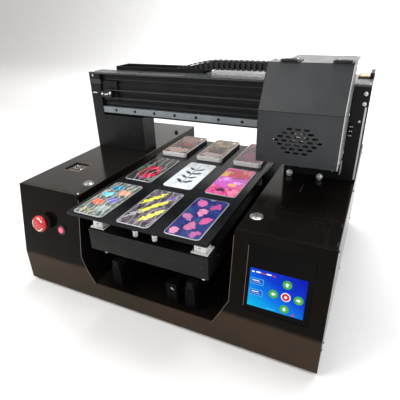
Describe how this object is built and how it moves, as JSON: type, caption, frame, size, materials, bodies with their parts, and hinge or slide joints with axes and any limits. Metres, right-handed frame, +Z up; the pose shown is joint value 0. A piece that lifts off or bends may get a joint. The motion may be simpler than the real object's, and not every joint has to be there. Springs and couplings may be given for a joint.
{
  "type": "flatbed uv printer",
  "caption": "Benchtop flatbed UV printer: U-shaped black base, moving bed, fixed gantry and a covered print carriage that runs across it.",
  "frame": {"origin": "middle of the bounding box, on the ground", "axes": "+X to the machine's right, as seen by a person at the touchscreen, +Y from the front to the back, +Z up"},
  "size_m": [0.7, 0.631, 0.5126],
  "materials": {
    "gloss_body": "gloss black powder coat over folded steel",
    "satin_frame": "satin dark grey paint",
    "cover_grey": "satin grey paint",
    "dark_plastic": "matt black plastic",
    "light_plate": "light grey paint",
    "aluminium": "brushed and clear anodised",
    "table_black": "black anodised, polished",
    "steel": "ground steel",
    "rubber": "moulded rubber",
    "white_block": "white acetal",
    "stop_red": "red moulded plastic",
    "lamp_pink": "lit translucent red lens",
    "screen": "lit touch panel behind glass"
  },
  "bodies": {
    "base": {"front_fascia": "gloss_body", "side_panel_left": "gloss_body", "side_panel_right": "gloss_body", "rear_panel": "gloss_body", "channel_liner": "gloss_body", "deck_left": "gloss_body", "deck_right": "gloss_body", "base_pan": "satin_frame", "gantry_side_left": "satin_frame", "gantry_side_right": "satin_frame", "x_beam": "satin_frame", "estop_collar": "dark_plastic", "screen_bezel": "dark_plastic", "power_inlet": "dark_plastic", "chain_tray": "dark_plastic", "cable_chain": "dark_plastic", "y_motor": "dark_plastic", "x_motor": "dark_plastic", "gantry_top_plate": "light_plate", "port_pocket": "aluminium", "y_bearing": "aluminium", "y_rail_left": "steel", "y_rail_right": "steel", "x_rail": "steel", "foot_front_left": "rubber", "foot_front_right": "rubber", "foot_rear_left": "rubber", "foot_rear_right": "rubber", "x_belt": "rubber", "screen_glass": "screen"},
    "saddle_body": {"saddle": "dark_plastic", "y_block_left": "aluminium", "y_block_right": "aluminium", "lift_motor": "dark_plastic"},
    "table": {"table_plate": "table_black", "corner_post_front_left": "white_block", "corner_post_front_right": "white_block", "corner_post_rear_left": "white_block", "corner_post_rear_right": "white_block", "lift_screw": "steel"},
    "knob_left": {"level_knob_left": "steel"},
    "knob_right": {"level_knob_right": "steel"},
    "y_screw_body": {"y_screw": "steel"},
    "carriage": {"carriage_mount": "aluminium", "x_block": "steel", "carriage_shell": "light_plate", "fan_frame": "dark_plastic", "print_head": "dark_plastic", "uv_lamp": "aluminium"},
    "flap": {"carriage_flap": "cover_grey"},
    "fan": {"fan_rotor": "dark_plastic"},
    "x_idler": {"x_idler_pulley": "aluminium"},
    "x_drive": {"x_drive_pulley": "aluminium"},
    "lid_left": {"service_lid_left": "gloss_body"},
    "lid_right": {"service_lid_right": "gloss_body"},
    "lock_left": {"cam_lock_left": "steel"},
    "lock_right": {"cam_lock_right": "steel"},
    "stop_stem": {"estop_stem": "dark_plastic"},
    "stop_head": {"estop_head": "stop_red"},
    "button": {"power_button": "lamp_pink"}
  },
  "joints": [
    {"name": "table_slide", "type": "slide", "parent": "base", "child": "saddle_body", "axis": [0, 1, 0], "range_m": [-0.085, 0.3]},
    {"name": "table_lift", "type": "slide", "parent": "saddle_body", "child": "table", "axis": [0, 0, 1], "range_m": [0, 0.044]},
    {"name": "carriage_slide", "type": "slide", "parent": "base", "child": "carriage", "axis": [1, 0, 0], "range_m": [-0.44, 0], "deforming": ["cable_chain"]},
    {"name": "flap_hinge", "type": "hinge", "parent": "carriage", "child": "flap", "pos_m": [0.238, -0.0331, 0.5094], "axis": [-1, 0, 0], "range_deg": [0, 100]},
    {"name": "fan_spin", "type": "hinge", "parent": "carriage", "child": "fan", "pos_m": [0.238, -0.0705, 0.369], "axis": [0, 1, 0], "continuous": true},
    {"name": "x_idler_spin", "type": "hinge", "parent": "base", "child": "x_idler", "pos_m": [-0.292, 0.0365, 0.406], "axis": [0, 1, 0], "range_deg": [-5, 2600]},
    {"name": "x_drive_spin", "type": "hinge", "parent": "base", "child": "x_drive", "pos_m": [0.296, 0.0465, 0.406], "axis": [0, 1, 0], "range_deg": [-5, 2600]},
    {"name": "y_screw_spin", "type": "hinge", "parent": "base", "child": "y_screw_body", "pos_m": [0.045, -0.2535, 0.084], "axis": [0, 1, 0], "range_deg": [-5600, 1700]},
    {"name": "knob_turn_left", "type": "hinge", "parent": "table", "child": "knob_left", "pos_m": [-0.022, -0.2735, 0.208], "axis": [0, 0, 1], "range_deg": [-180, 180]},
    {"name": "knob_turn_right", "type": "hinge", "parent": "table", "child": "knob_right", "pos_m": [0.022, -0.2735, 0.208], "axis": [0, 0, 1], "range_deg": [-180, 180]},
    {"name": "lid_hinge_left", "type": "hinge", "parent": "base", "child": "lid_left", "pos_m": [-0.3447, -0.2005, 0.254], "axis": [0, -1, 0], "range_deg": [0, 95]},
    {"name": "lid_hinge_right", "type": "hinge", "parent": "base", "child": "lid_right", "pos_m": [0.3447, -0.2005, 0.254], "axis": [0, 1, 0], "range_deg": [0, 95]},
    {"name": "lock_turn_left", "type": "hinge", "parent": "lid_left", "child": "lock_left", "pos_m": [-0.198, -0.1935, 0.254], "axis": [0, 0, -1], "range_deg": [0, 90]},
    {"name": "lock_turn_right", "type": "hinge", "parent": "lid_right", "child": "lock_right", "pos_m": [0.198, -0.1935, 0.254], "axis": [0, 0, 1], "range_deg": [0, 90]},
    {"name": "stop_press", "type": "slide", "parent": "base", "child": "stop_stem", "axis": [0, 0.9848, -0.174], "range_m": [0, 0.004]},
    {"name": "stop_twist", "type": "hinge", "parent": "stop_stem", "child": "stop_head", "pos_m": [-0.278, -0.26733, 0.17571], "axis": [0, -0.9848, 0.174], "range_deg": [0, 30]},
    {"name": "button_press", "type": "slide", "parent": "base", "child": "button", "axis": [0, 0.9848, -0.174], "range_m": [0, 0.0015], "stiffness_N_per_m": 800}
  ],
  "couplings": [
    {"joint": "x_idler_spin", "follows": "carriage_slide", "rad_per_m": -99.502},
    {"joint": "x_drive_spin", "follows": "carriage_slide", "rad_per_m": -99.502},
    {"joint": "y_screw_spin", "follows": "table_slide", "rad_per_m": -314.16}
  ]
}
